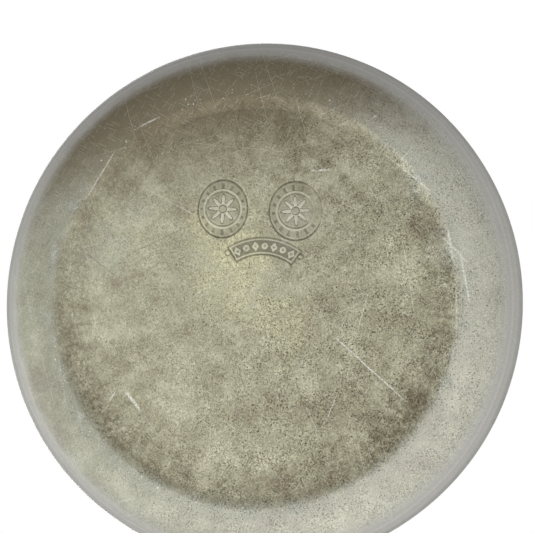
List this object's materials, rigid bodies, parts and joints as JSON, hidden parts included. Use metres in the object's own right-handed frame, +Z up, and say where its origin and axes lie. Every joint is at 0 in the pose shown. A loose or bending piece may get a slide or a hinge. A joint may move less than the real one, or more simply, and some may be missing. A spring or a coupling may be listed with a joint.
{
  "type": "pewter tankard",
  "caption": "Lidded pewter tankard: tapering drum on a spreading foot with a let-in base disc, hollow S handle, hinged double-domed lid and pierced thumbpiece.",
  "frame": {"origin": "on the drum's axis, at the level of the surface the foot stands on", "axes": "+Z up along the drum's axis, +X from the drum towards the handle, +Y along the lid's hinge pin"},
  "size_m": [0.1685, 0.132, 0.1864],
  "materials": {
    "body_pewter": "aged pewter, turned and burnished, soft grey patina",
    "base_pewter": "aged pewter, pitted, with a yellowish patina and scratches",
    "handle_pewter": "cast pewter, worn smooth by the hand",
    "pin_iron": "dark iron wire pin"
  },
  "bodies": {
    "body": {"foot_moulding": "body_pewter", "base_disc": "base_pewter", "drum": "body_pewter", "body_fillet": "body_pewter", "lip_band": "body_pewter", "handle_socket": "handle_pewter", "handle_shell": "handle_pewter", "handle_strut": "handle_pewter", "handle_terminal": "handle_pewter", "handle_hinge_block": "handle_pewter", "hinge_pin": "pin_iron", "hinge_cap_left": "handle_pewter", "hinge_cap_right": "handle_pewter"},
    "lid": {"lid_dome": "body_pewter", "lid_bezel": "body_pewter", "lid_hinge_strap": "body_pewter", "thumbpiece": "handle_pewter"}
  },
  "joints": [
    {"name": "lid_hinge", "type": "hinge", "parent": "body", "child": "lid", "pos_m": [0.0584, 0, 0.154], "axis": [0, 1, 0], "range_deg": [0, 100]}
  ]
}
